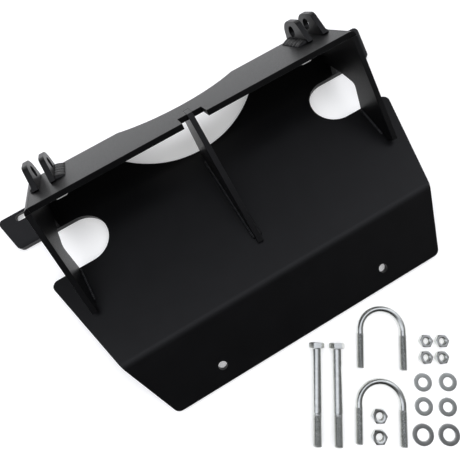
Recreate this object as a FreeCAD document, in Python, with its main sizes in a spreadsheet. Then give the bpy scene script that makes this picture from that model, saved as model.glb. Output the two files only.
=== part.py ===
"""Welded plow mounting bracket lying on its back, with its loose fastener kit laid out beside it.

The bracket is drawn in its own design frame: X across its width, Y back from the front edges of
the gussets, Z up along those edges.  Every bracket node then gets the same Placement, which lays
it on its back on the floor (Z = 0).  The fasteners are drawn where they lie on that floor, in kit
axes turned from the bracket's.
"""
import FreeCAD
import Part
import Sketcher
import math
import os

from FreeCAD import Placement, Rotation, Vector

DIMENSIONS = [
    # plates: 1/4 in sheet
    ("plate_gauge", 6.4),            # bent main plate
    ("gusset_gauge", 6.4),           # top plate, gussets and ears
    ("half_span", 196.0),            # centre plane to the outer face of a side gusset
    # main plate seen from the side, its front face: wall, floor and flange
    ("bend_back", 78.9),
    ("bend_height", 49.6),
    ("wall_length", 41.3),
    ("wall_angle", 23.0),
    ("floor_length", 182.9),
    ("floor_angle", 37.5),
    ("flange_length", 75.2),
    ("flange_angle", 6.0),
    ("bend_radius", 48.0),           # inside radius, wall to floor
    ("crease_radius", 11.0),          # inside radius, floor to flange
    # main plate seen from the front, half widths
    ("taper_overrun", 2.0),          # the side outline is drawn this far past the plate's ends
    ("wing_half", 252.6),            # at that height above the wall's top edge
    ("mouth_upper_half", 240.6),     # where the wing's edge runs out into the side notch
    ("mouth_lower_half", 231.9),     # where the edge below starts from the side notch
    ("mouth_upper_drop", 13.6),      # heights of those two below the upper bend
    ("mouth_lower_drop", 33.6),
    ("crease_half", 193.2),
    ("foot_half", 168.0),            # at that height below the flange's end
    ("wing_round", 5.6),
    ("mouth_upper_round", 5.6),
    ("mouth_lower_round", 7.2),
    ("foot_round", 8.0),
    ("notch_top", 0.8),              # upper edge of the side notch below the upper bend
    ("notch_radius", 29.2),
    ("notch_centre", 171.2),
    ("cutout_radius", 128.8),
    ("cutout_depth", 43.0),
    ("slot_length", 17.8),
    ("slot_width", 8.0),
    ("slot_drop", 7.0),              # slot centre below the wall's top edge
    ("slot_inner", 171.6),
    ("slot_outer", 222.4),
    ("flange_hole_across", 103.0),
    ("flange_hole_drop", 55.4),      # below the crease, along the flange
    ("flange_hole_radius", 5.0),
    # top plate, in its own sloping plane
    ("top_front_height", 88.6),
    ("top_slope", 15.2),
    ("top_depth", 89.1),
    ("rear_arc_radius", 130.4),
    ("rear_arc_half", 77.2),
    ("front_notch_half", 14.4),
    ("front_notch_depth", 20.8),
    ("tab_end", 37.6),
    ("corner_cut", 7.2),
    # side gussets: foot on the floor panel, and the relief behind it
    ("foot_toe", 110.0),             # along the floor panel from the upper bend
    ("foot_heel", 59.2),
    ("nose_drop", 40.0),             # front edge below the design origin
    ("relief_back", 72.8),
    ("relief_back_height", 61.6),
    ("relief_knee", 52.8),
    ("relief_knee_height", 48.8),
    ("relief_crown", 33.6),          # both back and up from the design origin
    ("relief_round", 8.0),
    # centre gusset
    ("centre_seat", 8.8),            # along the floor panel from the upper bend
    ("centre_toe", 140.8),
    ("centre_nose_back", 10.0),
    ("centre_nose_drop", 61.2),
    ("centre_neck_back", 16.0),
    ("centre_neck_height", 79.2),
    ("centre_seat_depth", 60.8),     # where its back edge meets the top plate
    # ears, in the top plate's plane
    ("ear_inner", 157.4),            # centre plane to the near face of the inner ear
    ("ear_outer", 177.2),            # centre plane to the near face of the outer ear
    ("ear_front", 34.2),
    ("ear_shoulder", 53.8),
    ("ear_crown", 87.0),
    ("ear_back", 89.6),
    ("ear_height", 23.8),
    ("ear_front_round", 11.2),
    ("ear_back_round", 15.2),
    ("ear_heel_gap", 1.6),           # bevel under the ear's front corner
    ("pin_hole_depth", 69.0),
    ("pin_hole_rise", 11.7),
    ("pin_hole_radius", 6.6),
    # weld beads
    ("ear_bead_reach", 11.0),        # inside each inner ear: out over the top plate, and up the ear
    ("ear_bead_rise", 4.6),
    ("small_bead", 4.0),             # outside each outer ear and behind the centre gusset's tab
    ("gusset_bead", 3.0),
    # hex bolts
    ("bolt_shank_radius", 4.75),
    ("bolt_thread_radius", 4.4),
    ("bolt_length", 98.8),
    ("bolt_thread_length", 31.4),
    ("bolt_head_height", 6.2),
    ("bolt_head_flats", 14.3),
    ("bolt_point", 1.0),
    # U-bolts
    ("rod_radius", 3.4),
    ("rod_thread_radius", 3.7),
    ("rod_thread_length", 36.0),
    ("rod_point", 0.8),
    ("leg_spacing", 46.0),
    ("leg_length", 41.2),
    # nuts and washers
    ("small_nut_flats", 12.8),
    ("small_nut_height", 5.8),
    ("small_nut_bore", 3.5),
    ("large_nut_flats", 14.3),
    ("large_nut_height", 6.6),
    ("large_nut_bore", 4.35),
    ("nut_mouth", 0.7),              # countersink at each end of a nut's bore
    ("small_washer_radius", 9.5),
    ("small_washer_bore", 5.0),
    ("small_washer_gauge", 1.6),
    ("large_washer_radius", 11.0),
    ("large_washer_bore", 6.4),
    ("large_washer_gauge", 2.0),
    # the kit's axes on the floor, and the lean of what lies at its right
    ("kit_turn", -32.5),
    ("kit_lean", -1.0),
]

# where each fastener lies, right and down the kit's axes
BOLT_SEATS = [(94.7, 160.7), (116.5, 160.4)]
U_BOLT_BOWS = [(165.9, 139.0), (162.8, 215.6)]
SMALL_NUT_SEATS = [(213.6, 148.7), (230.8, 148.1), (212.7, 166.0), (229.7, 165.4)]
LARGE_NUT_SEATS = [(160.6, 227.6), (159.8, 248.2)]
SMALL_WASHER_SEATS = [(209.1, 192.1), (235.5, 190.7), (208.7, 216.5), (233.7, 216.1)]
LARGE_WASHER_SEATS = [(206.3, 244.6), (233.2, 243.5)]

NUT_CHAMFER = 30                     # degrees off the face of a nut or a bolt's head
FACE_SHARE = 0.95                    # round face of a nut or head, as a share of its flats
CUT_THROUGH = 30.0                   # depth of a pocket that passes right through a plate

doc = FreeCAD.newDocument("plow_mount")
sheet = doc.addObject("Spreadsheet::Sheet", "dim")
for row, (alias, number) in enumerate(DIMENSIONS, start=1):
    sheet.set("A%d" % row, alias)
    sheet.set("B%d" % row, str(number))
    sheet.setAlias("B%d" % row, alias)
doc.recompute()

nodes = []


def value(expression):
    """Number that an expression over the sheet gives."""
    result = sheet.evalExpression(str(expression).replace("dim.", ""))
    return float(getattr(result, "Value", result))


def dim(alias):
    return float(sheet.get(alias))


def keep(thing, label, placement):
    """Make an object a node of the assembly."""
    thing.Label = label
    thing.Placement = placement
    nodes.append(thing)
    return thing


# ---------------------------------------------------------------- sketches and features

def new_sketch(body, name, plane, offset=None):
    """Sketch on one of the body's own origin planes, with an optional offset from it."""
    sketch = body.newObject("Sketcher::SketchObject", name)
    origin_plane = [f for f in body.Origin.OriginFeatures if f.Role == plane][0]
    sketch.AttachmentSupport = [(origin_plane, "")]
    sketch.MapMode = "FlatFace"
    if offset is not None:
        sketch.AttachmentOffset = offset
    return sketch


def bind(sketch, kind, *where, to):
    """Add one constraint whose size is an expression."""
    index = sketch.addConstraint(Sketcher.Constraint(kind, *where, value(to)))
    sketch.setExpression("Constraints[%d]" % index, str(to))


def add_outline(sketch, corners):
    """Closed outline of straight sides; each corner is a pair of expressions."""
    points = [Vector(value(x), value(y), 0) for x, y in corners]
    first = sketch.GeometryCount
    count = len(points)
    for k in range(count):
        sketch.addGeometry(Part.LineSegment(points[k], points[(k + 1) % count]), False)
    for k in range(count):
        follower = first + (k + 1) % count
        sketch.addConstraint(Sketcher.Constraint("Coincident", first + k, 2, follower, 1))
    for k, (x, y) in enumerate(corners):
        bind(sketch, "DistanceX", -1, 1, first + k, 1, to=x)
        bind(sketch, "DistanceY", -1, 1, first + k, 1, to=y)


def add_circle(sketch, x, y, radius):
    centre = Vector(value(x), value(y), 0)
    circle = sketch.addGeometry(Part.Circle(centre, Vector(0, 0, 1), value(radius)), False)
    bind(sketch, "DistanceX", -1, 1, circle, 3, to=x)
    bind(sketch, "DistanceY", -1, 1, circle, 3, to=y)
    bind(sketch, "Radius", circle, to=radius)


def add_obround(sketch, x_from, x_to, y, radius):
    """Slot outline along the sketch's X axis between two end centres."""
    start = Vector(value(x_from), value(y), 0)
    end = Vector(value(x_to), value(y), 0)
    up = Vector(0, value(radius), 0)
    flat = Vector(0, 0, 1)
    left_arc = Part.ArcOfCircle(Part.Circle(start, flat, up.y), math.pi / 2, 3 * math.pi / 2)
    right_arc = Part.ArcOfCircle(Part.Circle(end, flat, up.y), -math.pi / 2, math.pi / 2)
    left = sketch.addGeometry(left_arc, False)
    lower = sketch.addGeometry(Part.LineSegment(start - up, end - up), False)
    right = sketch.addGeometry(right_arc, False)
    upper = sketch.addGeometry(Part.LineSegment(end + up, start + up), False)
    for side, follower in ((left, lower), (lower, right), (right, upper), (upper, left)):
        sketch.addConstraint(Sketcher.Constraint("Tangent", side, 2, follower, 1))
    bind(sketch, "DistanceX", -1, 1, left, 3, to=x_from)
    bind(sketch, "DistanceX", -1, 1, right, 3, to=x_to)
    bind(sketch, "DistanceY", -1, 1, left, 3, to=y)
    bind(sketch, "Radius", left, to=radius)


def pad(body, name, sketch, length, midplane=False):
    feature = body.newObject("PartDesign::Pad", name)
    feature.Profile = sketch
    feature.Midplane = midplane
    feature.setExpression("Length", length)
    doc.recompute()
    return feature


def pocket(body, name, sketch, depth=CUT_THROUGH):
    """Cut both ways from the sketch, and make sure that it removed something."""
    before = body.Shape.Volume
    feature = body.newObject("PartDesign::Pocket", name)
    feature.Profile = sketch
    feature.Midplane = True
    feature.Length = depth
    doc.recompute()
    if not feature.Shape.Volume < before:
        raise RuntimeError(name + " removed nothing")
    return feature


def nearest_edge(shape, point):
    """Name of the edge that passes closest to a point."""
    spot = Part.Vertex(Vector(*point))
    gaps = [edge.distToShape(spot)[0] for edge in shape.Edges]
    return "Edge%d" % (gaps.index(min(gaps)) + 1)


def round_edges(body, name, points, radius):
    """Fillet the edges that pass through the given points of the body's tip."""
    base = body.Tip
    names = sorted({nearest_edge(base.Shape, point) for point in points})
    if len(names) != len(points):
        raise RuntimeError(name + " found too few edges")
    feature = body.newObject("PartDesign::Fillet", name)
    feature.Base = (base, names)
    feature.setExpression("Radius", radius)
    doc.recompute()
    return feature


# ---------------------------------------------------------------- main plate

def along(angle, length, start, towards=1):
    """Point (y, z) at a length from a start, measured along a panel of the main plate."""
    slope = math.radians(angle)
    return (start[0] + towards * length * math.sin(slope), start[1] + towards * length * math.cos(slope))


def behind(angle, distance, start):
    """Point (y, z) straight behind a panel's front face."""
    slope = math.radians(angle)
    return (start[0] + distance * math.cos(slope), start[1] - distance * math.sin(slope))


def behind_bend(upper_angle, lower_angle, distance, corner):
    """Point (y, z) at a depth behind both panels that meet at a corner."""
    reach = distance / math.cos(math.radians((upper_angle - lower_angle) / 2))
    return behind((upper_angle + lower_angle) / 2, reach, corner)


WALL = dim("wall_angle")
FLOOR = dim("floor_angle")
FLANGE = dim("flange_angle")
GAUGE = dim("plate_gauge")
bend = (dim("bend_back"), dim("bend_height"))
wall_top = along(WALL, dim("wall_length"), bend)
crease = along(FLOOR, dim("floor_length"), bend, -1)
foot = along(FLANGE, dim("flange_length"), crease, -1)

# the same four corners of the front face as expressions, for the sketches
BEND = ("dim.bend_back", "dim.bend_height")
WALL_TOP = ("dim.bend_back + dim.wall_length * sin(dim.wall_angle)",
            "dim.bend_height + dim.wall_length * cos(dim.wall_angle)")
CREASE = ("dim.bend_back - dim.floor_length * sin(dim.floor_angle)",
          "dim.bend_height - dim.floor_length * cos(dim.floor_angle)")
FOOT = (CREASE[0] + " - dim.flange_length * sin(dim.flange_angle)",
        CREASE[1] + " - dim.flange_length * cos(dim.flange_angle)")


def down_the_floor(length):
    """Expressions for a point on the floor panel's front face, measured from the upper bend."""
    return ("dim.bend_back - %s * sin(dim.floor_angle)" % length,
            "dim.bend_height - %s * cos(dim.floor_angle)" % length)


def back_corner(corner, upper_angle, lower_angle):
    """Back-face corner behind a front-face one; at a bend it is where both back faces meet."""
    mean = "((%s + %s) / 2)" % (upper_angle, lower_angle)
    reach = "dim.plate_gauge / cos((%s - %s) / 2)" % (upper_angle, lower_angle)
    return ("%s + %s * cos%s" % (corner[0], reach, mean), "%s - %s * sin%s" % (corner[1], reach, mean))


def panel(angle, start):
    """Sketch offset that puts local X along the width and local Y up along a panel."""
    return Placement(Vector(0, start[0], start[1]), Rotation(Vector(1, 0, 0), 90 - angle))


def bend_sheet(body):
    """The plate before it is cut: its side section padded across the width, bends rounded."""
    section = new_sketch(body, "side_section", "YZ_Plane")
    add_outline(section, [
        WALL_TOP, BEND, CREASE, FOOT,
        back_corner(FOOT, "dim.flange_angle", "dim.flange_angle"),
        back_corner(CREASE, "dim.floor_angle", "dim.flange_angle"),
        back_corner(BEND, "dim.wall_angle", "dim.floor_angle"),
        back_corner(WALL_TOP, "dim.wall_angle", "dim.wall_angle")])
    pad(body, "sheet", section, "2 * dim.wing_half + 1", midplane=True)
    bend_back = behind_bend(WALL, FLOOR, GAUGE, bend)
    crease_back = behind_bend(FLOOR, FLANGE, GAUGE, crease)
    round_edges(body, "bend_inside", [(0,) + bend], "dim.bend_radius")
    round_edges(body, "bend_outside", [(0,) + bend_back], "dim.bend_radius + dim.plate_gauge")
    round_edges(body, "crease_inside", [(0,) + crease_back], "dim.crease_radius")
    round_edges(body, "crease_outside", [(0,) + crease], "dim.crease_radius + dim.plate_gauge")


def cut_plan(body):
    """Side tapers, side notches, the cut-out of the wall, slots and holes."""
    beyond = "(dim.wing_half + 60)"
    high = WALL_TOP[1] + " + dim.taper_overrun"
    low = FOOT[1] + " - dim.taper_overrun"
    sides = new_sketch(body, "side_taper", "XZ_Plane")
    for side in ("", "-"):
        add_outline(sides, [
            (side + "dim.wing_half", high),
            (side + "dim.mouth_upper_half", "dim.bend_height - dim.mouth_upper_drop"),
            (side + "dim.mouth_lower_half", "dim.bend_height - dim.mouth_lower_drop"),
            (side + "dim.crease_half", CREASE[1]), (side + "dim.foot_half", low),
            (side + beyond, low), (side + beyond, high)])
    pocket(body, "taper", sides, 4 * dim("floor_length"))

    notches = new_sketch(body, "side_notches", "XY_Plane", panel(FLOOR, bend))
    middle = "-(dim.notch_top + dim.notch_radius)"
    add_obround(notches, "dim.notch_centre", beyond, middle, "dim.notch_radius")
    add_obround(notches, "-" + beyond, "-dim.notch_centre", middle, "dim.notch_radius")
    pocket(body, "notches", notches)

    cutout = new_sketch(body, "top_cutout", "XY_Plane", panel(WALL, bend))
    add_circle(cutout, "0", "dim.wall_length - dim.cutout_depth + dim.cutout_radius", "dim.cutout_radius")
    pocket(body, "cutout", cutout)

    slots = new_sketch(body, "u_bolt_slots", "XY_Plane", panel(WALL, bend))
    for middle in ("dim.slot_inner", "dim.slot_outer", "-dim.slot_inner", "-dim.slot_outer"):
        half = "(dim.slot_length - dim.slot_width) / 2"
        add_obround(slots, "%s - %s" % (middle, half), "%s + %s" % (middle, half),
                    "dim.wall_length - dim.slot_drop", "dim.slot_width / 2")
    pocket(body, "slots", slots)

    holes = new_sketch(body, "flange_holes", "XY_Plane", panel(FLANGE, crease))
    for side in ("", "-"):
        add_circle(holes, side + "dim.flange_hole_across", "-dim.flange_hole_drop", "dim.flange_hole_radius")
    pocket(body, "holes", holes)


def edge_half(height):
    """Half width of the tapered outline at a height of the wall or of the floor panel."""
    upper = bend[1] - dim("mouth_upper_drop")
    lower = bend[1] - dim("mouth_lower_drop")
    if height > upper:
        share = (height - upper) / (wall_top[1] + dim("taper_overrun") - upper)
        return dim("mouth_upper_half") + share * (dim("wing_half") - dim("mouth_upper_half"))
    share = (lower - height) / (lower - crease[1])
    return dim("mouth_lower_half") + share * (dim("crease_half") - dim("mouth_lower_half"))


def make_main_plate():
    body = doc.addObject("PartDesign::Body", "main_plate_body")
    bend_sheet(body)
    cut_plan(body)
    notch_foot = along(FLOOR, dim("notch_top") + 2 * dim("notch_radius"), bend, -1)
    corners = (
        ("wing", edge_half(wall_top[1]), behind(WALL, GAUGE / 2, wall_top)),
        ("mouth_upper", edge_half(bend[1]), behind_bend(WALL, FLOOR, GAUGE / 2, bend)),
        ("mouth_lower", edge_half(notch_foot[1]), behind(FLOOR, GAUGE / 2, notch_foot)),
        ("foot", dim("foot_half"), behind(FLANGE, GAUGE / 2, foot)))
    for corner, half, middle in corners:
        round_edges(body, corner + "_corners", [(-half,) + middle, (half,) + middle],
                    "dim.%s_round" % corner)
    return keep(body, "main_plate", lay)


# ---------------------------------------------------------------- top plate, gussets and ears

SLOPE = math.radians(dim("top_slope"))


def top_point(depth, rise):
    """Design-frame (y, z) of a point given in the top plate's sloping plane."""
    return (depth * math.cos(SLOPE) - rise * math.sin(SLOPE),
            dim("top_front_height") + depth * math.sin(SLOPE) + rise * math.cos(SLOPE))


def top_corner(depth, rise):
    """The same point as a pair of expressions."""
    return ("(%s) * cos(dim.top_slope) - (%s) * sin(dim.top_slope)" % (depth, rise),
            "dim.top_front_height + (%s) * sin(dim.top_slope) + (%s) * cos(dim.top_slope)" % (depth, rise))


def make_top_plate():
    body = doc.addObject("PartDesign::Body", "top_plate_body")
    underside = top_point(0, -dim("gusset_gauge"))
    level = Placement(Vector(0, underside[0], underside[1]), Rotation(Vector(1, 0, 0), dim("top_slope")))
    end = "(dim.half_span - dim.gusset_gauge)"
    right_side = [
        ("dim.gusset_gauge / 2", "dim.tab_end"), ("dim.gusset_gauge / 2", "dim.front_notch_depth"),
        ("dim.front_notch_half", "dim.front_notch_depth"), ("dim.front_notch_half", "0"),
        (end, "0"), (end, "dim.top_depth - dim.corner_cut"), (end + " - dim.corner_cut", "dim.top_depth")]
    left_side = [("-(%s)" % x, y) for x, y in reversed(right_side)]
    outline = new_sketch(body, "plan", "XY_Plane", level)
    add_outline(outline, left_side + right_side)
    pad(body, "plate", outline, "dim.gusset_gauge")
    relief = new_sketch(body, "rear_relief", "XY_Plane", level)
    centre = "dim.top_depth + sqrt(dim.rear_arc_radius^2 - dim.rear_arc_half^2)"
    add_circle(relief, "0", centre, "dim.rear_arc_radius")
    pocket(body, "rear_arc", relief)
    return keep(body, "top_plate", lay)


def profile_body(label, corners, near_face, holes=()):
    """Upright plate: a side profile in the Y-Z plane padded along X from its near face."""
    body = doc.addObject("PartDesign::Body", label + "_body")
    outline = new_sketch(body, "profile", "YZ_Plane", Placement(Vector(0, 0, near_face), Rotation()))
    add_outline(outline, corners)
    for y, z, radius in holes:
        add_circle(outline, y, z, radius)
    pad(body, "plate", outline, "dim.gusset_gauge")
    return keep(body, label, lay)


def make_side_gussets():
    """Front edge, slope under the top plate, back edge on the wall, relief, foot on the floor."""
    corners = [
        ("0", "-dim.nose_drop"), ("0", "dim.top_front_height - dim.gusset_gauge / cos(dim.top_slope)"),
        top_corner("dim.top_depth - 3.2", "-dim.gusset_gauge"), WALL_TOP,
        (BEND[0] + " - 0.6", BEND[1] + " + 0.6"), ("dim.relief_back", "dim.relief_back_height"),
        ("dim.relief_knee", "dim.relief_knee_height"), ("dim.relief_crown", "dim.relief_crown"),
        down_the_floor("dim.foot_heel"), down_the_floor("dim.foot_toe")]
    inner_face = dim("half_span") - dim("gusset_gauge")
    for label, near_face in (("gusset_left", -dim("half_span")), ("gusset_right", inner_face)):
        body = profile_body(label, corners, near_face)
        middle = near_face + dim("gusset_gauge") / 2
        crown = dim("relief_crown")
        round_edges(body, "relief_corner", [(middle, crown, crown)], "dim.relief_round")


def make_centre_gusset():
    """Rib from the floor panel to the top plate, with a tab that fills the plate's slot."""
    corners = [
        ("-dim.centre_nose_back", "-dim.centre_nose_drop"),
        ("dim.centre_neck_back", "dim.centre_neck_height"),
        top_corner("dim.front_notch_depth - 0.8", "0"), top_corner("dim.tab_end", "0"),
        top_corner("dim.tab_end", "-dim.gusset_gauge"),
        top_corner("dim.centre_seat_depth", "-dim.gusset_gauge"),
        down_the_floor("dim.centre_seat"), down_the_floor("dim.centre_toe")]
    profile_body("gusset_centre", corners, -dim("gusset_gauge") / 2)


def make_ears():
    """Two pairs of pivot ears that stand on the top plate."""
    corners = [
        top_corner("dim.ear_front + dim.ear_heel_gap", "0"), top_corner("dim.ear_front", "dim.ear_heel_gap"),
        top_corner("dim.ear_shoulder", "dim.ear_height"), top_corner("dim.ear_crown", "dim.ear_height"),
        top_corner("dim.ear_back", "0")]
    hole = top_corner("dim.pin_hole_depth", "dim.pin_hole_rise") + ("dim.pin_hole_radius",)
    shoulder = top_point(dim("ear_shoulder"), dim("ear_height"))
    crown = top_point(dim("ear_crown"), dim("ear_height"))
    for place in ("inner", "outer"):
        near = dim("ear_" + place)
        for hand, near_face in (("left", -near - dim("gusset_gauge")), ("right", near)):
            body = profile_body("ear_%s_%s" % (hand, place), corners, near_face, [hole])
            middle = near_face + dim("gusset_gauge") / 2
            round_edges(body, "front_round", [(middle,) + shoulder], "dim.ear_front_round")
            round_edges(body, "back_round", [(middle,) + crown], "dim.ear_back_round")


# ---------------------------------------------------------------- weld beads

def bead(name, start, side, lift, leg, length, rise=None):
    """Fillet bead with its legs along side and lift, drawn out from start along side x lift."""
    run = Vector(*side).cross(Vector(*lift))
    turn = Rotation(Vector(*side), Vector(*lift), run, "ZXY")
    body = doc.addObject("PartDesign::Body", name)
    section = new_sketch(body, "section", "XY_Plane", Placement(Vector(*start), turn))
    add_outline(section, [("0", "0"), (leg, "0"), ("0", rise or leg)])
    pad(body, "bead", section, length)
    return body


def joint_beads(name, faces, angle, first_point, lift, leg, length):
    """A bead on each given face of a plate that stands on a sloping one.

    faces are (x, outward) pairs; first_point is the upper (y, z) end of the joint, angle the
    joint's slope down from there, and lift the direction away from the plate below.
    """
    last_point = along(angle, value(length), first_point, -1)
    beads = []
    for count, (x, outward) in enumerate(faces, start=1):
        start = first_point if outward > 0 else last_point
        beads.append(bead("%s_%d" % (name, count), (x,) + start, (outward, 0, 0), lift, leg, length))
    return beads


def weld_group(label, beads):
    group = doc.addObject("Part::Compound", label + "_beads")
    group.Links = beads
    doc.recompute()
    return keep(group, label, lay)


def make_gusset_welds():
    """Beads along each gusset where it stands on the floor panel, on both faces."""
    slope = math.radians(FLOOR)
    off_floor = (0, -math.cos(slope), math.sin(slope))
    outer = dim("half_span")
    inner = outer - dim("gusset_gauge")
    half = dim("gusset_gauge") / 2
    side_start = along(FLOOR, dim("foot_heel") + 2, bend, -1)
    centre_start = along(FLOOR, dim("centre_seat") + 10, bend, -1)
    side_length = "dim.foot_toe - dim.foot_heel - 8"
    centre_length = "dim.centre_toe - dim.centre_seat - 16"
    for label, low_x, high_x, start, length in (
            ("gusset_weld_left", -outer, -inner, side_start, side_length),
            ("gusset_weld_centre", -half, half, centre_start, centre_length),
            ("gusset_weld_right", inner, outer, side_start, side_length)):
        faces = ((low_x, -1), (high_x, 1))
        weld_group(label, joint_beads(label, faces, FLOOR, start, off_floor, "dim.gusset_bead", length))


def make_tab_weld():
    """Beads under the top plate, on both faces of the centre gusset behind its tab."""
    half = dim("gusset_gauge") / 2
    down = (0, math.sin(SLOPE), -math.cos(SLOPE))
    length = "dim.centre_seat_depth - dim.tab_end - 4"
    near = top_point(dim("tab_end") + 1, -dim("gusset_gauge"))
    far = top_point(dim("tab_end") + 1 + value(length), -dim("gusset_gauge"))
    beads = [bead("tab_bead_1", (half,) + near, (1, 0, 0), down, "dim.small_bead", length),
             bead("tab_bead_2", (-half,) + far, (-1, 0, 0), down, "dim.small_bead", length)]
    weld_group("tab_weld_centre", beads)


def make_ear_welds():
    """A heavy bead on the centre side of each inner ear, a lighter one outside each outer ear."""
    off_top = (0, -math.sin(SLOPE), math.cos(SLOPE))
    start = dim("ear_front") + 3
    length = "dim.ear_back - dim.ear_front - 8"
    front = top_point(start, 0)
    back = top_point(start + value(length), 0)
    for hand, sign in (("left", -1), ("right", 1)):
        beads = []
        for name, x, outward, leg, rise in (
                ("inside", sign * dim("ear_inner"), -sign, "dim.ear_bead_reach", "dim.ear_bead_rise"),
                ("outside", sign * (dim("ear_outer") + dim("gusset_gauge")), sign,
                 "dim.small_bead", "dim.small_bead")):
            first = back if outward > 0 else front
            beads.append(bead("ear_bead_%s_%s" % (hand, name), (x,) + first, (outward, 0, 0), off_top,
                              leg, length, rise))
        weld_group("ear_weld_" + hand, beads)


def make_corner_welds():
    """Quarter-round bead that closes the outside corner of top plate and side gusset."""
    gauge = dim("gusset_gauge")
    run = Vector(0, math.cos(SLOPE), math.sin(SLOPE))
    lift = Vector(0, -math.sin(SLOPE), math.cos(SLOPE))
    centre = top_point(0, -gauge)
    for hand, sign in (("left", -1), ("right", 1)):
        bar = doc.addObject("Part::Cylinder", "corner_bead_" + hand)
        bar.setExpression("Radius", "dim.gusset_gauge")
        bar.setExpression("Height", "dim.top_depth - 5")
        bar.Angle = 90
        across = Vector(sign, 0, 0)
        axes = (across, lift) if sign < 0 else (lift, across)
        bar.Placement = Placement(Vector(sign * (dim("half_span") - gauge), centre[0], centre[1]),
                                  Rotation(axes[0], axes[1], run, "ZXY"))
        weld_group("corner_weld_" + hand, [bar])


# ---------------------------------------------------------------- resting pose

def laid_down():
    """Placement that lays the bracket on its back, on its upper bend and its flange's back edge."""
    bend_centre = behind_bend(WALL, FLOOR, -dim("bend_radius"), bend)
    heel = behind(FLANGE, GAUGE, foot)
    away = (bend_centre[0] - heel[0], bend_centre[1] - heel[1])
    lean = math.asin((dim("bend_radius") + GAUGE) / math.hypot(*away))
    floor_line = math.degrees(math.atan2(away[0], away[1]) + lean)
    turn = Rotation(Vector(1, 0, 0), floor_line - 90)
    low = turn.multVec(Vector(0, heel[0], heel[1]))
    return Placement(Vector(0, 0, -low.z), turn)


# ---------------------------------------------------------------- fasteners

def kit_place(seat, height=0.0, turn=0.0):
    """Placement of a fastener in the kit's own axes: right and down the layout, on the floor."""
    right, down = seat
    spin = Rotation(Vector(0, 0, 1), dim("kit_turn"))
    spot = spin.multVec(Vector(right, -down, 0))
    return Placement(spot + Vector(0, 0, height), Rotation(Vector(0, 0, 1), dim("kit_turn") + turn))


def primitive(kind, name, placement=None, **sizes):
    thing = doc.addObject(kind, name)
    for field, expression in sizes.items():
        thing.setExpression(field, expression)
    if placement is not None:
        thing.Placement = placement
    return thing


def boolean(kind, name, parts):
    thing = doc.addObject(kind, name)
    thing.Shapes = parts
    doc.recompute()
    return thing


def lifted(height):
    return Placement(Vector(0, 0, height), Rotation())


def hexagon(name, flats, height, both_ends):
    """Hexagonal block whose corners are chamfered at its top end, or at both."""
    block = primitive("Part::Prism", name + "_hex", Circumradius="%s / 2 / cos(30)" % flats, Height=height)
    block.Polygon = 6
    face = "%s / 2 * %s" % (flats, FACE_SHARE)
    wide = "%s + %s / tan(%s)" % (face, height, NUT_CHAMFER)
    cones = [primitive("Part::Cone", name + "_top_cone", Radius1=wide, Radius2=face, Height=height)]
    if both_ends:
        cones.append(primitive("Part::Cone", name + "_low_cone", Radius1=face, Radius2=wide, Height=height))
    return boolean("Part::MultiCommon", name + "_chamfered", [block] + cones)


def rod_end(name, base, turn, radius, length, point):
    """Threaded end of a rod: a plain cylinder with a short cone at its tip."""
    axis = turn.multVec(Vector(0, 0, 1))
    tip = base + axis * (value(length) - value(point))
    return [primitive("Part::Cylinder", name + "_thread", Placement(base, turn),
                      Radius=radius, Height="%s - %s" % (length, point)),
            primitive("Part::Cone", name + "_point", Placement(tip, turn),
                      Radius1=radius, Radius2="%s - %s" % (radius, point), Height=point)]


def make_bolt(label, seat):
    """Hex bolt lying on a flat of its head and on the tip of its thread, pointing down the kit."""
    head = hexagon(label, "dim.bolt_head_flats", "dim.bolt_head_height", False)
    down = Rotation(Vector(1, 0, 0), 180)
    plain = "dim.bolt_length - dim.bolt_thread_length"
    shank = primitive("Part::Cylinder", label + "_shank", Placement(Vector(), down),
                      Radius="dim.bolt_shank_radius", Height=plain)
    thread = rod_end(label, Vector(0, 0, -value(plain)), down, "dim.bolt_thread_radius",
                     "dim.bolt_thread_length", "dim.bolt_point")
    bolt = boolean("Part::MultiFuse", label + "_solid", [head, shank] + thread)
    drop = dim("bolt_head_flats") / 2 - dim("bolt_thread_radius")
    tilt = math.degrees(math.asin(drop / (dim("bolt_length") - dim("bolt_point"))))
    spot = kit_place(seat)
    lie = spot.Rotation.multiply(Rotation(Vector(1, 0, 0), -90 - tilt))
    keep(bolt, label, Placement(spot.Base, lie))
    lowest = bolt.Shape.optimalBoundingBox().ZMin
    bolt.Placement = Placement(spot.Base - Vector(0, 0, lowest), lie)


def make_u_bolt(label, seat):
    """U-bolt lying flat, its legs pointing down the kit."""
    lying = Rotation(Vector(1, 0, 0), 90)
    plain = "dim.leg_length - dim.rod_thread_length"
    parts = []
    for name, sign in (("left", -1), ("right", 1)):
        x = sign * dim("leg_spacing") / 2
        leg = "%s_%s" % (label, name)
        parts.append(primitive("Part::Cylinder", leg + "_leg", Placement(Vector(x, 0, 0), lying),
                               Radius="dim.rod_radius", Height=plain))
        parts += rod_end(leg, Vector(x, -value(plain), 0), lying, "dim.rod_thread_radius",
                         "dim.rod_thread_length", "dim.rod_point")
    bow = primitive("Part::Torus", label + "_bow", Radius1="dim.leg_spacing / 2", Radius2="dim.rod_radius")
    bow.Angle3 = 180
    u_bolt = boolean("Part::MultiFuse", label + "_solid", parts + [bow])
    keep(u_bolt, label, kit_place(seat, dim("rod_thread_radius"), dim("kit_lean")))


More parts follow.
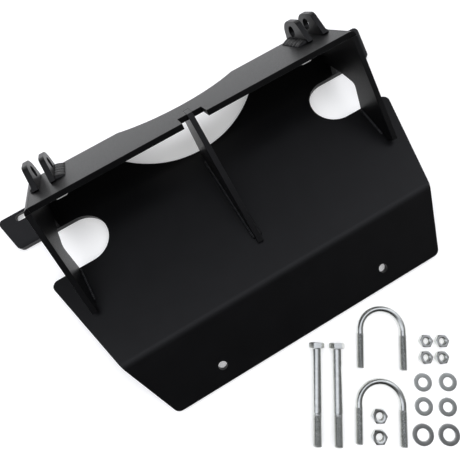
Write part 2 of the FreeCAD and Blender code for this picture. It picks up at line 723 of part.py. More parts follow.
def make_nut(label, size, seat, turn):
    """Hex nut lying flat, with a countersink at both mouths of its bore."""
    height = "dim.%s_nut_height" % size
    bore = "dim.%s_nut_bore" % size
    mouth = bore + " + dim.nut_mouth"
    body = hexagon(label, "dim.%s_nut_flats" % size, height, True)
    top = lifted(value(height) - dim("nut_mouth"))
    tools = boolean("Part::MultiFuse", label + "_tools", [
        primitive("Part::Cylinder", label + "_bore", lifted(-1), Radius=bore, Height=height + " + 2"),
        primitive("Part::Cone", label + "_top_mouth", top, Radius1=bore, Radius2=mouth,
                  Height="dim.nut_mouth"),
        primitive("Part::Cone", label + "_low_mouth", Radius1=mouth, Radius2=bore, Height="dim.nut_mouth")])
    nut = doc.addObject("Part::Cut", label + "_solid")
    nut.Base = body
    nut.Tool = tools
    keep(nut, label, kit_place(seat, turn=turn))


def make_washer(label, size, seat):
    body = doc.addObject("PartDesign::Body", label + "_body")
    plan = new_sketch(body, "plan", "XY_Plane")
    add_circle(plan, "0", "0", "dim.%s_washer_radius" % size)
    add_circle(plan, "0", "0", "dim.%s_washer_bore" % size)
    pad(body, "disc", plan, "dim.%s_washer_gauge" % size)
    keep(body, label, kit_place(seat))


def make_fasteners():
    for count, seat in enumerate(BOLT_SEATS, start=1):
        make_bolt("hex_bolt_%d" % count, seat)
    for count, seat in enumerate(U_BOLT_BOWS, start=1):
        make_u_bolt("u_bolt_%d" % count, seat)
    for size, nut_seats, washer_seats in (("small", SMALL_NUT_SEATS, SMALL_WASHER_SEATS),
                                          ("large", LARGE_NUT_SEATS, LARGE_WASHER_SEATS)):
        for count, seat in enumerate(nut_seats, start=1):
            make_nut("%s_nut_%d" % (size, count), size, seat, 2.0 * count)
        for count, seat in enumerate(washer_seats, start=1):
            make_washer("%s_washer_%d" % (size, count), size, seat)


# ---------------------------------------------------------------- assembly

def centre_on_origin():
    """Shift every node so that the middle of the whole footprint stands at the origin."""
    doc.recompute()
    boxes = [node.Shape.optimalBoundingBox() for node in nodes]
    middle_y = (min(b.YMin for b in boxes) + max(b.YMax for b in boxes)) / 2
    for node in nodes:
        node.Placement = Placement(node.Placement.Base - Vector(0, middle_y, 0), node.Placement.Rotation)
    doc.recompute()
    print("footprint shift %.4f" % -middle_y)


def check_and_export():
    for thing in doc.Objects:
        bad = {"Invalid", "Error"} & set(thing.State)
        if bad:
            raise RuntimeError("%s is %s" % (thing.Label, sorted(bad)))
    os.makedirs("parts", exist_ok=True)
    for node in nodes:
        if node.Shape.isNull() or not node.Shape.isValid():
            raise RuntimeError(node.Label + " has no valid shape")
        node.Shape.exportStep("parts/%s.step" % node.Label)
        box = node.Shape.optimalBoundingBox()
        print("%-20s %9.1f mm3  z %6.2f to %6.2f" % (node.Label, node.Shape.Volume, box.ZMin, box.ZMax))


lay = laid_down()
make_main_plate()
make_top_plate()
make_side_gussets()
make_centre_gusset()
make_ears()
make_corner_welds()
make_ear_welds()
make_gusset_welds()
make_tab_weld()
make_fasteners()
centre_on_origin()
check_and_export()
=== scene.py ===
import math

import bmesh
import bpy
from mathutils import Matrix, Vector


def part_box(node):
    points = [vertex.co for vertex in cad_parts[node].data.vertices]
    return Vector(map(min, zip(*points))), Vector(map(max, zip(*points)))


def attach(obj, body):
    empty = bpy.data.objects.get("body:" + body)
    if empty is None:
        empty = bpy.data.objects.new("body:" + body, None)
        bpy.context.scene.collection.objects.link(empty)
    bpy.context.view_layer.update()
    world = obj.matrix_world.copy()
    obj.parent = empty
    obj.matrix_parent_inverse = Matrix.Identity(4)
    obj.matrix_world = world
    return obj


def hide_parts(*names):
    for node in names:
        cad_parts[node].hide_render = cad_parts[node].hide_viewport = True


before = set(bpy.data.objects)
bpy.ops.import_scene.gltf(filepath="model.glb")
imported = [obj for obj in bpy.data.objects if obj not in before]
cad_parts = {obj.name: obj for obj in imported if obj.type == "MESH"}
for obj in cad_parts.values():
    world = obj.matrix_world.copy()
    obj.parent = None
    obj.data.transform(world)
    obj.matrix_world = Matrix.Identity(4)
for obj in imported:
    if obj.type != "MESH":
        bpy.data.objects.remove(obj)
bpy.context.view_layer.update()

# Lengths are in metres unless a comment says millimetres, and Z is up from the floor.
MM = 0.001
SHIFT_Y = 95.8471                    # mm, the shift that centres the part's footprint on the origin
KIT_TURN = math.radians(-32.5)
KIT_LEAN = math.radians(-1.0)        # the U-bolts' further turn


# ---------------------------------------------------------------- node helpers

def new_material(name):
    """A material with one Principled shader on its surface, and the tree to add to."""
    material = bpy.data.materials.new(name)
    material.use_nodes = True
    tree = material.node_tree
    tree.nodes.clear()
    output = tree.nodes.new("ShaderNodeOutputMaterial")
    shader = tree.nodes.new("ShaderNodeBsdfPrincipled")
    tree.links.new(shader.outputs["BSDF"], output.inputs["Surface"])
    return material, tree, shader


def object_coordinates(tree):
    """Places in the piece's own space, so that its grain moves with it."""
    return tree.nodes.new("ShaderNodeTexCoord").outputs["Object"]


def noise(tree, vector, scale, detail=2.0, roughness=0.5):
    """Fractal noise from 0 to 1, with about scale features to the metre."""
    node = tree.nodes.new("ShaderNodeTexNoise")
    node.inputs["Scale"].default_value = scale
    node.inputs["Detail"].default_value = detail
    node.inputs["Roughness"].default_value = roughness
    tree.links.new(vector, node.inputs["Vector"])
    return node.outputs["Fac"]


def ramp(tree, fac, stops):
    """Linear colour ramp; each stop is (position, colour or grey)."""
    node = tree.nodes.new("ShaderNodeValToRGB")
    elements = node.color_ramp.elements
    while len(elements) < len(stops):
        elements.new(0.5)
    for element, (position, colour) in zip(elements, stops):
        grey = (colour,) * 3 if isinstance(colour, (int, float)) else tuple(colour)
        element.position = position
        element.color = grey + (1.0,)
    tree.links.new(fac, node.inputs["Fac"])
    return node.outputs["Color"]


def bump(tree, height, strength, distance, normal=None):
    """Bumped normal, laid over another normal where one is given."""
    node = tree.nodes.new("ShaderNodeBump")
    node.inputs["Strength"].default_value = strength
    node.inputs["Distance"].default_value = distance
    tree.links.new(height, node.inputs["Height"])
    if normal is not None:
        tree.links.new(normal, node.inputs["Normal"])
    return node.outputs["Normal"]


def mixed(tree, blend_type, first, second):
    """Two colours added or multiplied in full."""
    node = tree.nodes.new("ShaderNodeMixRGB")
    node.blend_type = blend_type
    node.inputs["Fac"].default_value = 1.0
    tree.links.new(first, node.inputs["Color1"])
    tree.links.new(second, node.inputs["Color2"])
    return node.outputs["Color"]


# ---------------------------------------------------------------- materials

def powder_coat(name, grain_height, tone):
    """Satin black powder coat: fine orange peel over a sand-like grain, with faint mottling."""
    material, tree, shader = new_material(name)
    place = object_coordinates(tree)
    mottle = noise(tree, place, scale=38.0, detail=4.0, roughness=0.6)
    speckle = noise(tree, place, scale=1500.0, detail=2.0, roughness=0.6)
    peel = noise(tree, place, scale=420.0, detail=3.0, roughness=0.55)
    dark = (tone, tone, tone * 1.12)
    light = (tone * 1.5, tone * 1.5, tone * 1.7)
    shade = ramp(tree, mottle, [(0.3, dark), (0.7, light)])
    gloss = ramp(tree, speckle, [(0.35, 0.32), (0.65, 0.46)])
    tree.links.new(shade, shader.inputs["Base Color"])
    tree.links.new(gloss, shader.inputs["Roughness"])
    shader.inputs["IOR"].default_value = 1.37
    coarse = bump(tree, peel, strength=0.5, distance=grain_height)
    fine = bump(tree, speckle, strength=0.4, distance=grain_height * 0.5, normal=coarse)
    tree.links.new(fine, shader.inputs["Normal"])
    return material


def zinc(name, tone, rough, tint):
    """Zinc plate: a pale metal with a cloudy tone and a fine grain; tone and rough are (low, high)."""
    material, tree, shader = new_material(name)
    place = object_coordinates(tree)
    cloud = noise(tree, place, scale=160.0, detail=5.0, roughness=0.6)
    grain = noise(tree, place, scale=1700.0, detail=3.0, roughness=0.6)
    low, high = (tuple(level * channel for channel in tint) for level in tone)
    shade = ramp(tree, cloud, [(0.3, low), (0.7, high)])
    gloss = ramp(tree, grain, [(0.3, rough[0]), (0.7, rough[1])])
    tree.links.new(shade, shader.inputs["Base Color"])
    tree.links.new(gloss, shader.inputs["Roughness"])
    shader.inputs["Metallic"].default_value = 1.0
    tree.links.new(bump(tree, grain, strength=0.25, distance=0.00003), shader.inputs["Normal"])
    return material


BLACK = powder_coat("satin_black_powder_coat", grain_height=0.00006, tone=0.0018)
WELD = powder_coat("powder_coated_weld", grain_height=0.00008, tone=0.0026)
ZINC = zinc("bright_zinc", tone=(0.60, 0.74), rough=(0.17, 0.29), tint=(0.98, 1.0, 0.96))
DULL_ZINC = zinc("dull_zinc", tone=(0.52, 0.66), rough=(0.28, 0.42), tint=(0.97, 1.0, 0.96))
THREAD = zinc("zinc_thread", tone=(0.46, 0.58), rough=(0.20, 0.32), tint=(0.98, 1.0, 0.96))
DARK_ZINC = zinc("dark_zinc", tone=(0.36, 0.48), rough=(0.32, 0.46), tint=(0.99, 1.0, 0.97))


# ---------------------------------------------------------------- mesh helpers

SEAM = 2e-6                          # points closer together than this are one corner
FLAT = math.radians(0.3)             # faces that differ by less than this are one plane
CORNER = 0.6                         # rad, an edge that turns more than this gets softened
SOFT_EDGE = 0.5 * MM                 # the radius that a powder coat leaves on a cut edge


def finish_mesh(mesh_data, name, material, body, nodes, sharp=35.0):
    """Turn a bmesh into a smooth-shaded piece that stands for CAD nodes and rides on their body.

    Edges that turn sharp degrees or more stay crisp. Faces with material index 1 are thread.
    """
    limit = math.radians(sharp)
    for face in mesh_data.faces:
        face.smooth = True
    for edge in mesh_data.edges:
        edge.smooth = len(edge.link_faces) == 2 and edge.calc_face_angle(0.0) < limit
    mesh = bpy.data.meshes.new(name)
    mesh_data.to_mesh(mesh)
    mesh_data.free()
    mesh.materials.append(material)
    if any(polygon.material_index for polygon in mesh.polygons):
        mesh.materials.append(THREAD)
    piece = bpy.data.objects.new(name, mesh)
    bpy.context.scene.collection.objects.link(piece)
    weighted = piece.modifiers.new("weighted", "WEIGHTED_NORMAL")
    weighted.keep_sharp = True
    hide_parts(*nodes)
    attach(piece, body)
    return piece


def closed_copy(node):
    """The node's own mesh with its seams closed."""
    mesh_data = bmesh.new()
    mesh_data.from_mesh(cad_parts[node].data)
    bmesh.ops.remove_doubles(mesh_data, verts=mesh_data.verts, dist=SEAM)
    return mesh_data


def softened(node):
    """A plate whose cut edges carry the small radius that a powder coat leaves on them."""
    mesh_data = closed_copy(node)
    bmesh.ops.dissolve_limit(mesh_data, angle_limit=FLAT, verts=mesh_data.verts,
                             edges=mesh_data.edges)
    corners = [edge for edge in mesh_data.edges
               if len(edge.link_faces) == 2 and edge.calc_face_angle(0.0) > CORNER]
    bmesh.ops.bevel(mesh_data, geom=corners, offset=SOFT_EDGE, offset_type="OFFSET", segments=2,
                    profile=0.5, affect="EDGES", clamp_overlap=True, harden_normals=False)
    return finish_mesh(mesh_data, "coated_" + node, BLACK, "bracket", [node])


def ring(mesh_data, points):
    """The given points as vertices of the mesh."""
    return [mesh_data.verts.new(p) for p in points]


def skin(mesh_data, rings, closed_ends=True, threaded=None):
    """Faces between rings of equal length, with flat ends if asked for.

    Threaded is the first and the last of the rows of faces that are thread.
    """
    count = len(rings[0])
    first, last = threaded or (0, -1)
    for row, (lower, upper) in enumerate(zip(rings, rings[1:])):
        for k in range(count):
            j = (k + 1) % count
            face = mesh_data.faces.new((lower[k], lower[j], upper[j], upper[k]))
            face.material_index = int(first <= row <= last)
    if closed_ends:
        mesh_data.faces.new(list(reversed(rings[0])))
        mesh_data.faces.new(rings[-1])


def settle_on(mesh_data, node, rotation):
    """Turn a piece drawn about its own origin, and stand it in the middle of its CAD node's box."""
    bmesh.ops.transform(mesh_data, matrix=rotation.to_4x4(), verts=mesh_data.verts)
    low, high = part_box(node)
    xs = [v.co.x for v in mesh_data.verts]
    ys = [v.co.y for v in mesh_data.verts]
    zs = [v.co.z for v in mesh_data.verts]
    shift = Vector(((low.x + high.x - min(xs) - max(xs)) / 2,
                    (low.y + high.y - min(ys) - max(ys)) / 2, low.z - min(zs)))
    bmesh.ops.translate(mesh_data, vec=shift, verts=mesh_data.verts)


# ---------------------------------------------------------------- weld beads

PRISM_CORNERS = 6                    # a straight bead in the CAD is a prism on a triangle
RIPPLE_PITCH = 0.0022                # from one ripple of a bead to the next
RIPPLE_SWELL = 0.06                  # how much a ripple swells, as a share of the bead
RIPPLE_STEPS = 8                     # rings to each ripple
FEWEST_STEPS = 24                    # rings that even the shortest bead gets
RIPPLE_LEAN = 0.0005                 # how far a ripple's crown is dragged along the bead
END_ROUNDING = 0.0035                # length over which a bead's end closes
END_SHARE = 0.06                     # what is left of the bead's size at its very end
ROOT_SINK = -0.12                    # share of its legs by which the root runs into both plates
LEG_GROWTH = 1.18                    # against the CAD's legs, as a ripple reaches only 0.8 of its own
WIDE_BEAD = 8 * MM                   # legs longer than this carry a flatter bead


def square(first, second):
    """Whether two directions stand square to each other."""
    return abs(first.normalized().dot(second.normalized())) < 0.02


def bead_axes(points):
    """Sort a prism's six corners into its root line's start and end, and its two leg vectors."""
    for root in points:
        others = sorted((p for p in points if p is not root), key=lambda p: (p - root).length)
        side, lift = others[0] - root, others[1] - root
        ends = [p for p in others[2:] if square(p - root, side) and square(p - root, lift)]
        if square(side, lift) and ends:
            return root, ends[0], side, lift
    raise RuntimeError("no root line in a bead")


def prisms(node):
    """The axes of each straight bead of a CAD weld node."""
    mesh_data = closed_copy(node)
    seen = set()
    found = []
    for seed in mesh_data.verts:
        if seed in seen:
            continue
        island = [seed]
        seen.add(seed)
        for vert in island:
            for edge in vert.link_edges:
                other = edge.other_vert(vert)
                if other not in seen:
                    seen.add(other)
                    island.append(other)
        points = sorted((v.co.copy() for v in island),
                        key=lambda p: (round(p.x, 6), round(p.y, 6)))
        if len(points) != PRISM_CORNERS:
            raise RuntimeError("%s holds a bead that isn't a prism" % node)
        found.append(bead_axes(points))
    mesh_data.free()
    return found


def ripple_bead(mesh_data, start, end, side, lift, flatness):
    """Fillet bead laid as overlapping ripples, with rounded ends.

    A flatness of 1 gives its face a round section, and of 2 nearly a straight one.
    """
    run = end - start
    length = run.length
    steps = max(FEWEST_STEPS, int(length / RIPPLE_PITCH) * RIPPLE_STEPS)
    arc = [math.radians(a) for a in range(0, 91, 10)]
    rings = []
    for k in range(steps + 1):
        s = length * k / steps
        phase = (s / RIPPLE_PITCH) % 1.0
        scallop = 1.0 + RIPPLE_SWELL * (1.0 - (2 * phase - 1) ** 2) - RIPPLE_SWELL * 0.5
        near_end = min(s, length - s)
        close = math.sqrt(max(0.0, 1 - max(0.0, 1 - near_end / END_ROUNDING) ** 2))
        # Two slow waves stand for the unevenness of a bead laid by hand.
        wander = 0.03 * math.sin(s * 900) + 0.02 * math.sin(s * 2170 + 1.3)
        scale = max(END_SHARE, close) * (scallop + wander)
        lean = RIPPLE_LEAN * (phase - 0.5)
        centre = start + run.normalized() * s
        points = [centre + side * ROOT_SINK + lift * ROOT_SINK]
        for a in arc:
            bulge = 0.80 + 0.10 * math.sin(2 * a)
            crown = run.normalized() * lean * math.sin(2 * a)
            points.append(centre + crown + side * (scale * bulge * math.cos(a) ** flatness)
                          + lift * (scale * bulge * math.sin(a) ** flatness))
        rings.append(ring(mesh_data, points))
    skin(mesh_data, rings)


def weld_piece(node):
    """All the beads of one CAD weld node as one piece."""
    mesh_data = bmesh.new()
    for start, end, side, lift in prisms(node):
        flatness = 1.6 if max(side.length, lift.length) > WIDE_BEAD else 1.25
        ripple_bead(mesh_data, start, end, side * LEG_GROWTH, lift * LEG_GROWTH, flatness)
    bmesh.ops.recalc_face_normals(mesh_data, faces=mesh_data.faces)
    return finish_mesh(mesh_data, "bead_" + node, WELD, "bracket", [node], 70.0)


# ---------------------------------------------------------------- fasteners

AROUND = 48                          # points around a rod
FINE_AROUND = 96                     # points around a nut, a washer or a bolt's head
THREAD_STEPS = 8                     # rings to each turn of a thread
PITCH_LARGE = 1.5875 * MM            # coarse thread of 3/8 in, 16 to the inch
PITCH_SMALL = 1.411 * MM             # coarse thread of 5/16 in, 18 to the inch
FACE_SHARE = 0.95                    # a hexagon's round end face against its flats
CHAMFER = math.radians(30)           # slope of the chamfer on a hexagon's corners


def circle(radius, height, count=AROUND):
    """Points on a level circle about Z."""
    return [Vector((radius * math.cos(2 * math.pi * k / count),
                    radius * math.sin(2 * math.pi * k / count), height)) for k in range(count)]


def thread_rings(crest, root, pitch, top, length, count=AROUND, fade=1.2):
    """Rings of a helical thread from its top downwards, between its crest and root radii.

    It fades in over fade pitches at the top, and out over run_out pitches at the bottom. In a nut
    the crest is the smaller radius.
    """
    run_out = 0.6
    rows = int(length / pitch * THREAD_STEPS)
    rings = []
    for row in range(rows + 1):
        z = top - length * row / rows
        depth = min(1.0, (top - z) / (fade * pitch), (z - top + length) / (run_out * pitch) + 0.15)
        points = []
        for k in range(count):
            angle = 2 * math.pi * k / count
            phase = ((top - z) / pitch + k / count) % 1.0
            tooth = min(1.0, max(0.0, abs(2 * phase - 1) * 1.35 - 0.17))
            radius = crest - (crest - root) * max(0.0, depth) * (1 - tooth)
            points.append(Vector((radius * math.cos(angle), radius * math.sin(angle), z)))
        rings.append(points)
    return rings


def hex_radius(angle, flats):
    """How far a hexagon reaches in one direction."""
    return flats / 2 / math.cos((angle % (math.pi / 3)) - math.pi / 6)


def hex_ring(flats, height):
    """Points on a level hexagon."""
    return [Vector((hex_radius(a, flats) * math.cos(a), hex_radius(a, flats) * math.sin(a), height))
            for a in (2 * math.pi * k / FINE_AROUND for k in range(FINE_AROUND))]


def chamfered_ring(flats, face, end, side):
    """Where the flats meet the chamfer cone at one end; side is +1 at the top, -1 at the bottom."""
    points = []
    for k in range(FINE_AROUND):
        a = 2 * math.pi * k / FINE_AROUND
        reach = hex_radius(a, flats)
        drop = max(0.0, reach - face) * math.tan(CHAMFER)
        points.append(Vector((reach * math.cos(a), reach * math.sin(a), end - side * drop)))
    return points


def bolt_piece(node):
    """Hex bolt: chamfered head with a washer face, plain shank, rolled thread and a chamfered point.

    It is drawn upright, with the underside of its head at height 0 and its point at -length.
    """
    flats, head, shank, length, threaded = 14.3 * MM, 6.2 * MM, 4.73 * MM, 98.8 * MM, 31.4 * MM
    crest, root = 4.68 * MM, 3.95 * MM
    below_plain, beside_thread = 0.2 * MM, 1.4 * MM
    washer_face, dish = 0.35 * MM, 0.25 * MM
    mesh_data = bmesh.new()
    face = flats / 2 * FACE_SHARE
    head_rings = [circle(face, 0.0, FINE_AROUND), circle(face, washer_face, FINE_AROUND),
                  hex_ring(flats, washer_face), chamfered_ring(flats, face, head, 1),
                  circle(face, head, FINE_AROUND), circle(face * 0.93, head, FINE_AROUND),
                  circle(face * 0.90, head - dish, FINE_AROUND)]
    skin(mesh_data, [ring(mesh_data, r) for r in head_rings])
    plain = length - threaded
    # Each pair is a share of the shank's radius and a place in mm: for the fillet its height, for
    # the neck how far it lies above the end of the plain part.
    fillet = [(1.16, 0.1), (1.05, -0.35), (1.0, -0.9)]
    neck = [(1.0, 1.9), (0.99, 1.7), (0.92, 1.3), (0.92, 0.5), (0.97, 0.2), (0.985, 0.0)]
    rings = [circle(shank * share, height * MM) for share, height in fillet]
    rings += [circle(shank * share, -(plain - above * MM)) for share, above in neck]
    thread = thread_rings(crest, root, PITCH_LARGE, -plain - below_plain, threaded - beside_thread)
    point = [circle(3.5 * MM, -length + 0.15 * MM), circle(3.2 * MM, -length)]
    rings += thread + point
    skin(mesh_data, [ring(mesh_data, r) for r in reversed(rings)],
         threaded=(len(point) - 1, len(thread)))
    bmesh.ops.recalc_face_normals(mesh_data, faces=mesh_data.faces)
    # Lying down, it rests on a flat of its head and on the end of its thread.
    thread_end, before_point = 4.4 * MM, 1.0 * MM
    tilt = math.asin((flats / 2 - thread_end) / (length - before_point))
    rotation = Matrix.Rotation(KIT_TURN, 3, "Z") @ Matrix.Rotation(-math.pi / 2 - tilt, 3, "X")
    settle_on(mesh_data, node, rotation)
    return finish_mesh(mesh_data, "bolt_" + node, ZINC, node, [node], 30.0)


def sweep(centres, tangents, radius, up):
    """Circles of one radius along a line that stays square to up."""
    rings = []
    for centre, tangent in zip(centres, tangents):
        across = tangent.cross(up).normalized()
        rings.append([centre + radius * (math.cos(a) * across + math.sin(a) * up)
                      for a in (2 * math.pi * k / AROUND for k in range(AROUND))])
    return rings


def leg_rings(x, start, length):
    """Thread and chamfered tip of one leg, drawn from start along -Y, and its rows of thread."""
    crest, root, point = 3.95 * MM, 3.28 * MM, 0.9 * MM
    thread = thread_rings(crest, root, PITCH_SMALL, 0.0, length - point, fade=0.8)
    rings = [[Vector((x + p.x, start + p.z, p.y)) for p in points] for points in thread]
    for radius, depth in ((2.9 * MM, length - 0.12 * MM), (2.6 * MM, length)):
        rings.append([Vector((x + p.x, start - depth, p.y)) for p in circle(radius, 0)])
    return rings, (0, len(thread) - 1)


def u_bolt_piece(node):
    """U-bolt lying flat, drawn with its bow at +Y and its legs along -Y."""
    half, rod, leg, threaded = 23.0 * MM, 3.42 * MM, 41.2 * MM, 36.0 * MM
    overlap = 0.4 * MM               # how far the thread's first ring lies inside the rod
    leg_steps, bow_steps = 4, 64
    up = Vector((0, 0, 1))
    mesh_data = bmesh.new()
    start = -(leg - threaded)
    centres, tangents = [], []
    for k in range(leg_steps):
        centres.append(Vector((-half, start + (-start) * k / leg_steps, 0)))
        tangents.append(Vector((0, 1, 0)))
    for k in range(bow_steps + 1):
        a = math.pi - math.pi * k / bow_steps
        centres.append(Vector((half * math.cos(a), half * math.sin(a), 0)))
        tangents.append(Vector((math.sin(a), -math.cos(a), 0)))
    for k in range(1, leg_steps + 1):
        centres.append(Vector((half, start * k / leg_steps, 0)))
        tangents.append(Vector((0, -1, 0)))
    skin(mesh_data, [ring(mesh_data, r) for r in sweep(centres, tangents, rod, up)])
    for x in (-half, half):
        rings, rows = leg_rings(x, start + overlap, threaded + overlap)
        skin(mesh_data, [ring(mesh_data, r) for r in rings], threaded=rows)
    bmesh.ops.recalc_face_normals(mesh_data, faces=mesh_data.faces)
    settle_on(mesh_data, node, Matrix.Rotation(KIT_TURN + KIT_LEAN, 3, "Z"))
    return finish_mesh(mesh_data, "ubolt_" + node, ZINC, node, [node], 30.0)


def nut_piece(node, flats, height, crest, root, pitch, turn):
    """Hex nut, chamfered at both ends, with a countersunk and threaded bore; turn is in degrees."""
    countersink, sunk = 0.35 * MM, 0.5 * MM          # the countersink's width and depth
    mesh_data = bmesh.new()
    face = flats / 2 * FACE_SHARE
    mouth = root + countersink
    rings = [circle(face, 0, FINE_AROUND), chamfered_ring(flats, face, 0, -1),
             chamfered_ring(flats, face, height, 1), circle(face, height, FINE_AROUND),
             circle(mouth, height, FINE_AROUND)]
    rings += thread_rings(crest, root, pitch, height - sunk, height - 2 * sunk,
                          count=FINE_AROUND, fade=0.3)
    rings += [circle(mouth, 0, FINE_AROUND)]
    made = [ring(mesh_data, r) for r in rings]
    skin(mesh_data, made + [made[0]], closed_ends=False)
    bmesh.ops.recalc_face_normals(mesh_data, faces=mesh_data.faces)
    settle_on(mesh_data, node, Matrix.Rotation(KIT_TURN + math.radians(turn), 3, "Z"))
    return finish_mesh(mesh_data, "nut_" + node, ZINC, node, [node], 28.0)


def washer_piece(node, outer, bore, gauge, material):
    """Stamped flat washer: rolled upper edges, sharper lower ones."""
    mesh_data = bmesh.new()
    soft = gauge * 0.3
    profile = [(bore, soft * 0.4), (bore + soft * 0.3, 0), (outer - soft * 0.3, 0),
               (outer, soft * 0.5), (outer, gauge - soft),
               (outer - soft * 0.35, gauge - soft * 0.35), (outer - soft, gauge),
               (bore + soft, gauge), (bore + soft * 0.35, gauge - soft * 0.35), (bore, gauge - soft)]
    made = [ring(mesh_data, circle(radius, height, FINE_AROUND)) for radius, height in profile]
    skin(mesh_data, made + [made[0]], closed_ends=False)
    bmesh.ops.recalc_face_normals(mesh_data, faces=mesh_data.faces)
    settle_on(mesh_data, node, Matrix.Rotation(KIT_TURN, 3, "Z"))
    return finish_mesh(mesh_data, "flat_" + node, material, node, [node], 50.0)


# ---------------------------------------------------------------- the pieces

NUT_STEP = 2.0                       # degrees, so that no two nuts in a row lie quite alike

for plate in ("main_plate", "top_plate", "gusset_left", "gusset_centre", "gusset_right",
              "ear_left_outer", "ear_left_inner", "ear_right_inner", "ear_right_outer"):
    softened(plate)
for corner in ("corner_weld_left", "corner_weld_right"):
    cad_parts[corner].data.materials.clear()
    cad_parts[corner].data.materials.append(WELD)
for seam in ("ear_weld_left", "ear_weld_right", "gusset_weld_left", "gusset_weld_centre",
             "gusset_weld_right", "tab_weld_centre"):
    weld_piece(seam)
for number in (1, 2):
    bolt_piece("hex_bolt_%d" % number)
for number in (1, 2):
    u_bolt_piece("u_bolt_%d" % number)
for number in (1, 2, 3, 4):
    nut_piece("small_nut_%d" % number, flats=12.8 * MM, height=5.8 * MM, crest=3.45 * MM,
              root=3.95 * MM, pitch=PITCH_SMALL, turn=NUT_STEP * number)
    washer_piece("small_washer_%d" % number, outer=9.5 * MM, bore=5.0 * MM, gauge=1.6 * MM,
                 material=DULL_ZINC)
for number in (1, 2):
    nut_piece("large_nut_%d" % number, flats=14.3 * MM, height=6.6 * MM, crest=4.1 * MM,
              root=4.7 * MM, pitch=PITCH_LARGE, turn=NUT_STEP * number)
    washer_piece("large_washer_%d" % number, outer=11.0 * MM, bore=6.4 * MM, gauge=2.0 * MM,
                 material=DARK_ZINC)


# ---------------------------------------------------------------- floor, light and camera

def make_floor():
    """Pale matt floor just under the part, with a faint glow that keeps the shadows light."""
    half_width, drop, glow = 6.0, 0.0002, 0.25
    mesh_data = bmesh.new()
    bmesh.ops.create_grid(mesh_data, x_segments=2, y_segments=2, size=half_width)
    mesh = bpy.data.meshes.new("floor")
    mesh_data.to_mesh(mesh)
    mesh_data.free()
    floor = bpy.data.objects.new("floor", mesh)
    floor.location.z = -drop
    bpy.context.scene.collection.objects.link(floor)
    material, tree, shader = new_material("pale_floor")
    shade = ramp(tree, noise(tree, object_coordinates(tree), scale=3.0), [(0.3, 0.80), (0.7, 0.82)])
    tree.links.new(shade, shader.inputs["Base Color"])
    shader.inputs["Roughness"].default_value = 0.9
    shader.inputs["Emission Color"].default_value = (1.0, 1.0, 1.0, 1.0)
    shader.inputs["Emission Strength"].default_value = glow
    mesh.materials.append(material)


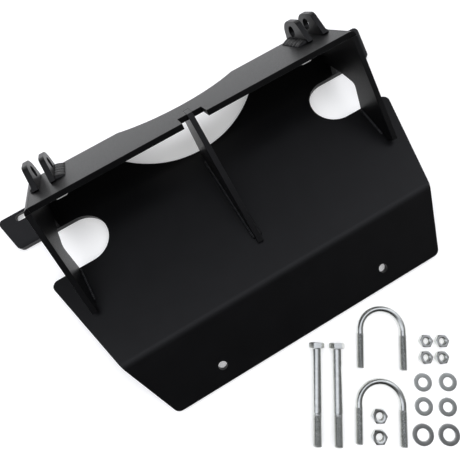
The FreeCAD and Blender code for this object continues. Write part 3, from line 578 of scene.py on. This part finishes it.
def make_sky():
    """Studio surround for the light: a bright band overhead from left to right, dim all round it.

    The camera itself sees a plain pale backdrop instead.
    """
    world = bpy.data.worlds.new("studio")
    world.use_nodes = True
    tree = world.node_tree
    tree.nodes.clear()
    output = tree.nodes.new("ShaderNodeOutputWorld")
    background = tree.nodes.new("ShaderNodeBackground")
    background.inputs["Strength"].default_value = 1.35
    direction = tree.nodes.new("ShaderNodeTexCoord").outputs["Generated"]
    split = tree.nodes.new("ShaderNodeSeparateXYZ")
    tree.links.new(direction, split.inputs["Vector"])
    front_to_back = tree.nodes.new("ShaderNodeMapRange")
    front_to_back.inputs["From Min"].default_value = -1.0
    tree.links.new(split.outputs["Y"], front_to_back.inputs["Value"])
    band = ramp(tree, front_to_back.outputs["Result"], [
        (0.0, 0.01), (0.20, 0.015), (0.36, 0.08), (0.48, (0.76, 0.78, 0.86)),
        (0.67, (0.90, 0.92, 1.0)), (0.72, (0.15, 0.16, 0.18)), (0.77, 0.005), (0.93, 0.02),
        (1.0, 0.4)])
    right_side = ramp(tree, split.outputs["X"], [(0.0, 0.0), (0.6, 0.10)])
    sky = mixed(tree, "ADD", band, right_side)
    height = ramp(tree, split.outputs["Z"], [(0.05, 0.25), (0.5, 1.0)])
    tree.links.new(mixed(tree, "MULTIPLY", sky, height), background.inputs["Color"])
    backdrop = tree.nodes.new("ShaderNodeBackground")
    backdrop.inputs["Color"].default_value = (0.85, 0.85, 0.86, 1.0)
    seen = tree.nodes.new("ShaderNodeMixShader")
    ray = tree.nodes.new("ShaderNodeLightPath")
    tree.links.new(ray.outputs["Is Camera Ray"], seen.inputs["Fac"])
    tree.links.new(background.outputs["Background"], seen.inputs[1])
    tree.links.new(backdrop.outputs["Background"], seen.inputs[2])
    tree.links.new(seen.outputs["Shader"], output.inputs["Surface"])
    bpy.context.scene.world = world


def add_area(name, place, target, size, power, glossy=True, diffuse=True):
    """Rectangular light of so many watts, aimed at its target and unseen by the camera."""
    light = bpy.data.lights.new(name, "AREA")
    light.shape = "RECTANGLE"
    light.size, light.size_y = size
    light.energy = power
    lamp = bpy.data.objects.new(name, light)
    lamp.location = place
    lamp.rotation_euler = (Vector(target) - Vector(place)).to_track_quat("-Z", "Y").to_euler()
    lamp.visible_glossy = glossy
    lamp.visible_diffuse = diffuse
    lamp.visible_camera = False
    bpy.context.scene.collection.objects.link(lamp)


def make_camera():
    """The photo's camera, as the fit to the bracket's outlines gave it."""
    sensor, focal_share, nearest = 36.0, 450 / 460, 0.01       # the sensor's width is in mm
    camera_data = bpy.data.cameras.new("camera")
    camera_data.sensor_width = sensor
    camera_data.lens = sensor * focal_share
    camera_data.clip_start = nearest
    camera = bpy.data.objects.new("camera", camera_data)
    bpy.context.scene.collection.objects.link(camera)
    place = Vector((-67.12, -133.51 + SHIFT_Y, 514.93)) * MM
    forward = Vector((0.0890, 0.2089, -0.9739)).normalized()
    right = Vector((0.8623, -0.5055, -0.0296))
    right = (right - forward * right.dot(forward)).normalized()
    up = right.cross(forward)
    turn = Matrix((right, up, -forward)).transposed()
    camera.matrix_world = Matrix.Translation(place) @ turn.to_4x4()
    bpy.context.scene.camera = camera


make_floor()
make_sky()
add_area("overhead_softbox", place=(-0.1, 0.1, 1.2), target=(0.0, 0.0, 0.0), size=(1.8, 1.8),
         power=19.0, glossy=False)
add_area("back_strip", place=(0.1, 1.3, 0.38), target=(0.0, 0.1, 0.0), size=(1.6, 0.35),
         power=3.5, diffuse=False)
make_camera()
bpy.context.scene.view_settings.view_transform = "Standard"
